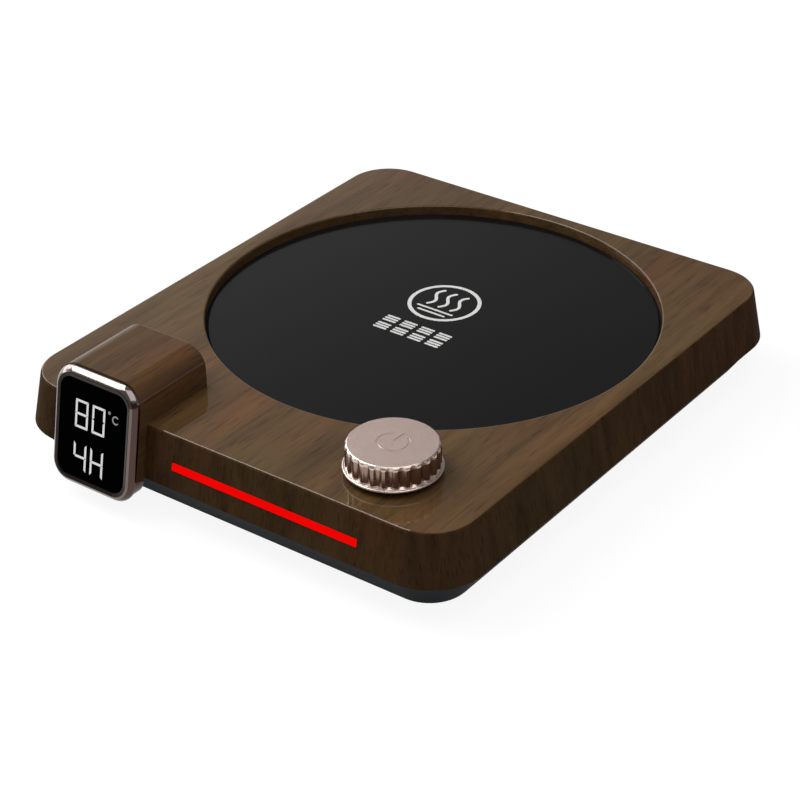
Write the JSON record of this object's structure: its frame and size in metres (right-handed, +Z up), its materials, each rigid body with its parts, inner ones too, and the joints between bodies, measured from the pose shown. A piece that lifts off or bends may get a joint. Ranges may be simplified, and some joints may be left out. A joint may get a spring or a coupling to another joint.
{
  "type": "electric mug warmer",
  "caption": "Square-cornered warming base with a sunk round glass heating plate, raised display head, fluted push-and-turn knob and a light bar.",
  "frame": {"origin": "centre of the box round the whole object, at the table under the feet", "axes": "+Z up, -Y the front with the display and light bar, +X the knob side"},
  "size_m": [0.1406, 0.1676, 0.0362],
  "materials": {
    "wood_film": "dark walnut wood-grain film under a glossy clear coat",
    "base_plastic": "fine-textured dark grey moulded plastic",
    "rose_gold": "polished rose-gold anodised aluminium",
    "black_glass": "black printed display glass",
    "plate_glass": "dark grey satin tempered glass with a pale printed mark",
    "lit_white": "lit white display segments",
    "lit_red": "lit red diffusing lens",
    "display_white": "white display module housing",
    "foot_rubber": "matte black rubber",
    "seal_silicone": "black silicone",
    "screw_steel": "zinc-plated steel",
    "spreader_aluminium": "plain rolled aluminium",
    "resistance_foil": "etched resistance foil",
    "mica": "pale mica sheet",
    "felt": "white ceramic-fibre felt",
    "tray_steel": "pressed galvanised steel",
    "sensor_brass": "brass sensor capsule",
    "fuse_metal": "plain metal fuse case",
    "circuit_board": "green solder-masked glass-fibre board",
    "chip_black": "black moulded epoxy",
    "relay_blue": "blue relay case",
    "can_sleeve": "dark sleeved capacitor",
    "plug_cream": "cream nylon connectors",
    "encoder_green": "moulded encoder case",
    "plated_metal": "nickel-plated machined metal",
    "nylon": "natural nylon",
    "spring_metal": "gold-plated spring dome",
    "led_yellow": "pale LED packages",
    "strip_white": "white solder-masked strip board",
    "inlet_black": "black moulded plastic",
    "lead_sleeve": "grey insulated leads",
    "lead_red": "red insulated leads"
  },
  "bodies": {
    "root": {"top_shell": "wood_film", "display_hood": "wood_film", "display_bezel": "rose_gold", "display_window": "black_glass", "display_module": "display_white", "display_digits": "lit_white", "hood_screws": "screw_steel", "base_cover": "base_plastic", "rubber_feet": "foot_rubber", "housing_screws": "screw_steel", "glass_plate": "plate_glass", "plate_seal": "seal_silicone", "heat_spreader": "spreader_aluminium", "heating_element": "resistance_foil", "mica_sheet": "mica", "insulation_felt": "felt", "heater_tray": "tray_steel", "tray_screws": "screw_steel", "thermistor": "sensor_brass", "thermal_fuse": "fuse_metal", "control_board": "circuit_board", "board_screws": "screw_steel", "microcontroller": "chip_black", "power_relay": "relay_blue", "capacitor": "can_sleeve", "buzzer": "chip_black", "wire_connectors": "plug_cream", "encoder_body": "encoder_green", "encoder_bushing": "plated_metal", "encoder_washer": "plated_metal", "encoder_nut": "plated_metal", "switch_dome": "spring_metal", "knob_board": "circuit_board", "light_bar_lens": "lit_red", "light_bar_board": "strip_white", "light_bar_leds": "led_yellow", "power_inlet": "inlet_black", "inlet_pin": "plated_metal", "inlet_nut": "plated_metal", "heater_leads": "lead_sleeve", "inlet_leads": "lead_red", "display_leads": "lead_sleeve", "knob_leads": "lead_sleeve", "light_leads": "lead_sleeve", "sensor_leads": "lead_sleeve"},
    "rotor": {"encoder_rotor": "nylon"},
    "knob_stack": {"knob": "rose_gold", "knob_insert": "nylon", "encoder_shaft": "plated_metal"}
  },
  "joints": [
    {"name": "knob_turn", "type": "hinge", "parent": "root", "child": "rotor", "pos_m": [0.0393, -0.05628, 0.0252], "axis": [0, 0, 1], "continuous": true},
    {"name": "knob_press", "type": "slide", "parent": "rotor", "child": "knob_stack", "axis": [0, 0, -1], "range_m": [0, 0.0005], "stiffness_N_per_m": 500, "springref_m": -0.001, "deforming": ["switch_dome"]}
  ]
}
